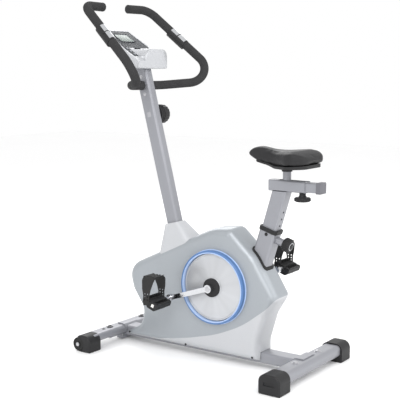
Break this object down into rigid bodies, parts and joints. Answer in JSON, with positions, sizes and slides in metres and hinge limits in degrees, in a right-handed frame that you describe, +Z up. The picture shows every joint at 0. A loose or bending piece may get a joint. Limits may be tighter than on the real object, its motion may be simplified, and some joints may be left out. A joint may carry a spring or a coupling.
{
  "type": "exercise bike",
  "caption": "Upright magnetic exercise bike with a looped handlebar, console, enclosed belt drive and flywheel, strapped pedals and a height-adjustable padded saddle.",
  "frame": {"origin": "on the floor under the middle of the outer box", "axes": "+X forward toward the handlebar, +Y to the rider's left, +Z up"},
  "size_m": [0.8943, 0.5036, 1.266],
  "materials": {
    "silver_paint": "silver lacquer, satin",
    "cover_silver": "silver painted, satin gloss",
    "cover_light": "light silver painted, satin",
    "black_plastic": "fine moulded texture",
    "dark_panel": "dark, slightly glossy",
    "lens": "clear window over a grey display",
    "foam": "closed-cell foam",
    "chrome": "bright plated",
    "steel": "zinc plated",
    "rubber_black": "matt",
    "ring_blue": "blue, glossy",
    "disc_silver": "silver with a radial sheen",
    "leather": "black grained leatherette",
    "cast_iron": "machined rim",
    "button": "grey, matt"
  },
  "bodies": {
    "frame": {"main_beam": "silver_paint", "seat_tube": "silver_paint", "mast_stub": "silver_paint", "crank_post": "silver_paint", "flywheel_fork": "silver_paint", "front_stabilizer": "silver_paint", "rear_stabilizer": "silver_paint", "mast": "silver_paint", "upper_cover_left": "cover_silver", "upper_cover_right": "cover_silver", "console_shell": "cover_silver", "lower_cover_left": "cover_light", "lower_cover_right": "cover_light", "mast_boot": "cover_light", "front_end_caps": "black_plastic", "rear_end_caps": "black_plastic", "pulse_sensors": "black_plastic", "post_collar": "black_plastic", "dial_base": "black_plastic", "console_face": "dark_panel", "console_lens": "lens", "lower_grips": "foam", "upper_grips": "foam", "handlebar": "chrome", "sensor_plates": "chrome", "frame_bolts": "steel", "crank_bearings": "steel", "flywheel_axle": "steel", "tension_cable": "steel", "seat_gasket": "rubber_black", "drive_belt": "rubber_black", "cover_rings": "ring_blue"},
    "crank": {"crank_axle": "steel", "drive_pulley": "black_plastic", "crank_disc_left": "disc_silver", "crank_disc_right": "disc_silver", "crank_arm_left": "chrome", "crank_arm_right": "chrome", "pedal_spindles": "steel"},
    "pedal_left_body": {"pedal_left": "black_plastic", "pedal_strap_left": "rubber_black"},
    "pedal_right_body": {"pedal_right": "black_plastic", "pedal_strap_right": "rubber_black"},
    "flywheel_body": {"flywheel": "cast_iron"},
    "brake": {"brake_caliper": "cast_iron"},
    "dial": {"tension_dial": "black_plastic"},
    "wheel_left": {"transport_wheel_left": "rubber_black"},
    "wheel_right": {"transport_wheel_right": "rubber_black"},
    "post": {"seat_post": "silver_paint", "slider_sleeve": "silver_paint"},
    "pin": {"height_pin": "black_plastic"},
    "saddle": {"saddle_slider": "silver_paint", "slider_end_cap": "black_plastic", "saddle_pan": "black_plastic", "saddle_cushion": "leather"},
    "clamp": {"clamp_knob": "black_plastic"},
    "button_mode": {"mode_button": "button"},
    "button_set": {"set_button": "button"},
    "button_reset": {"reset_button": "button"}
  },
  "joints": [
    {"name": "crank_spin", "type": "hinge", "parent": "frame", "child": "crank", "pos_m": [-0.055, 0, 0.27], "axis": [0, 1, 0], "continuous": true},
    {"name": "pedal_left_spin", "type": "hinge", "parent": "crank", "child": "pedal_left_body", "pos_m": [0.10192, 0.181, 0.21901], "axis": [0, 1, 0], "continuous": true},
    {"name": "pedal_right_spin", "type": "hinge", "parent": "crank", "child": "pedal_right_body", "pos_m": [-0.21192, -0.181, 0.32099], "axis": [0, 1, 0], "continuous": true},
    {"name": "flywheel_spin", "type": "hinge", "parent": "frame", "child": "flywheel_body", "pos_m": [0.216, 0, 0.226], "axis": [0, 1, 0], "continuous": true},
    {"name": "dial_turn", "type": "hinge", "parent": "frame", "child": "dial", "pos_m": [0.25962, 0, 0.862], "axis": [0, -1, 0], "range_deg": [0, 300]},
    {"name": "brake_lift", "type": "hinge", "parent": "frame", "child": "brake", "pos_m": [0.156, 0, 0.303], "axis": [0, -1, 0], "range_deg": [0, 5]},
    {"name": "wheel_left_spin", "type": "hinge", "parent": "frame", "child": "wheel_left", "pos_m": [0.419, 0.237, 0.027], "axis": [0, 1, 0], "continuous": true},
    {"name": "wheel_right_spin", "type": "hinge", "parent": "frame", "child": "wheel_right", "pos_m": [0.419, -0.237, 0.027], "axis": [0, 1, 0], "continuous": true},
    {"name": "seat_height", "type": "slide", "parent": "frame", "child": "post", "axis": [-0.2917, 0, 0.9565], "range_m": [-0.1, 0.075]},
    {"name": "pin_pull", "type": "slide", "parent": "frame", "child": "pin", "axis": [-0.9565, 0, -0.2917], "range_m": [0, 0.008], "stiffness_N_per_m": 600, "springref_m": -0.004},
    {"name": "saddle_slide", "type": "slide", "parent": "post", "child": "saddle", "axis": [1, 0, 0], "range_m": [-0.04, 0.01]},
    {"name": "clamp_turn", "type": "hinge", "parent": "post", "child": "clamp", "pos_m": [-0.369, 0, 0.6], "axis": [0, 0, 1], "range_deg": [0, 180]},
    {"name": "mode_press", "type": "slide", "parent": "frame", "child": "button_mode", "axis": [0.5417, 0, -0.8406], "range_m": [0, 0.0012], "stiffness_N_per_m": 400},
    {"name": "set_press", "type": "slide", "parent": "frame", "child": "button_set", "axis": [0.5417, 0, -0.8406], "range_m": [0, 0.0012], "stiffness_N_per_m": 400},
    {"name": "reset_press", "type": "slide", "parent": "frame", "child": "button_reset", "axis": [0.5417, 0, -0.8406], "range_m": [0, 0.0012], "stiffness_N_per_m": 400}
  ],
  "couplings": [
    {"joint": "flywheel_spin", "follows": "crank_spin", "ratio": 7.1429},
    {"joint": "brake_lift", "follows": "dial_turn", "ratio": 0.016667}
  ]
}
